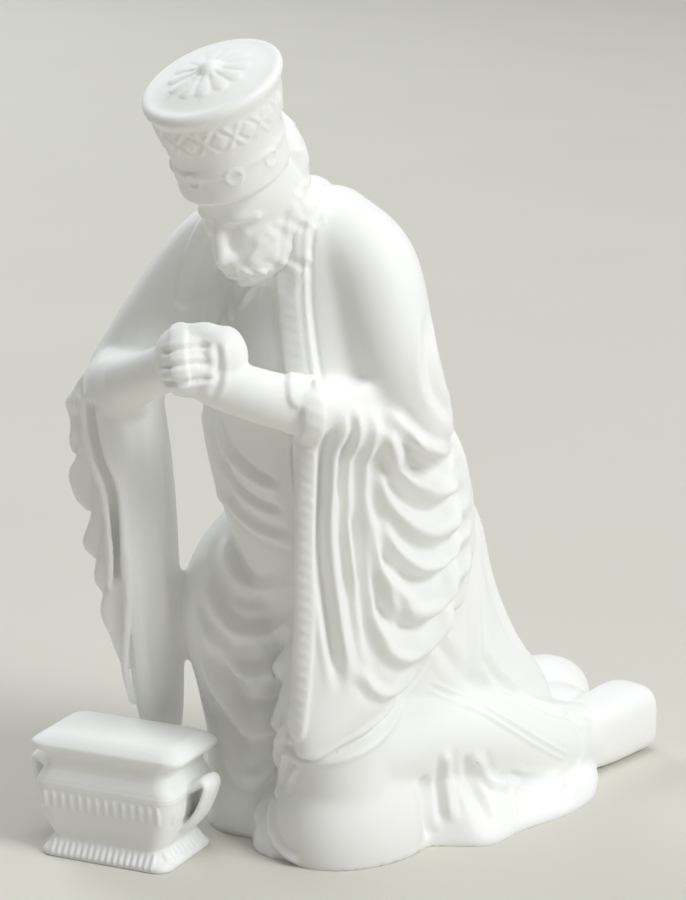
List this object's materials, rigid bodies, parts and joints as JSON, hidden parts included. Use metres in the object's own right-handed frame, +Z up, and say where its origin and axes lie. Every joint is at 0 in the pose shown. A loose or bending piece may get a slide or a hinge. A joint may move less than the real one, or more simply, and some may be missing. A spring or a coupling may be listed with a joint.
{
  "type": "nativity wise man figurine",
  "caption": "Kneeling nativity wise man with clasped hands, tall round hat and wide sleeves, with his small lidded casket, in unglazed white porcelain.",
  "frame": {"origin": "on the flat underside of the kneeling figure, under the middle of his robe, at table height", "axes": "+Z up, -Y the way he faces, +X his left side"},
  "size_m": [0.0579, 0.1087, 0.1229],
  "materials": {
    "bisque": "unglazed porcelain, matt",
    "bisque_casket": "unglazed porcelain, matt"
  },
  "bodies": {
    "root": {"wise_man": "bisque", "gift_casket": "bisque_casket"}
  },
  "joints": []
}
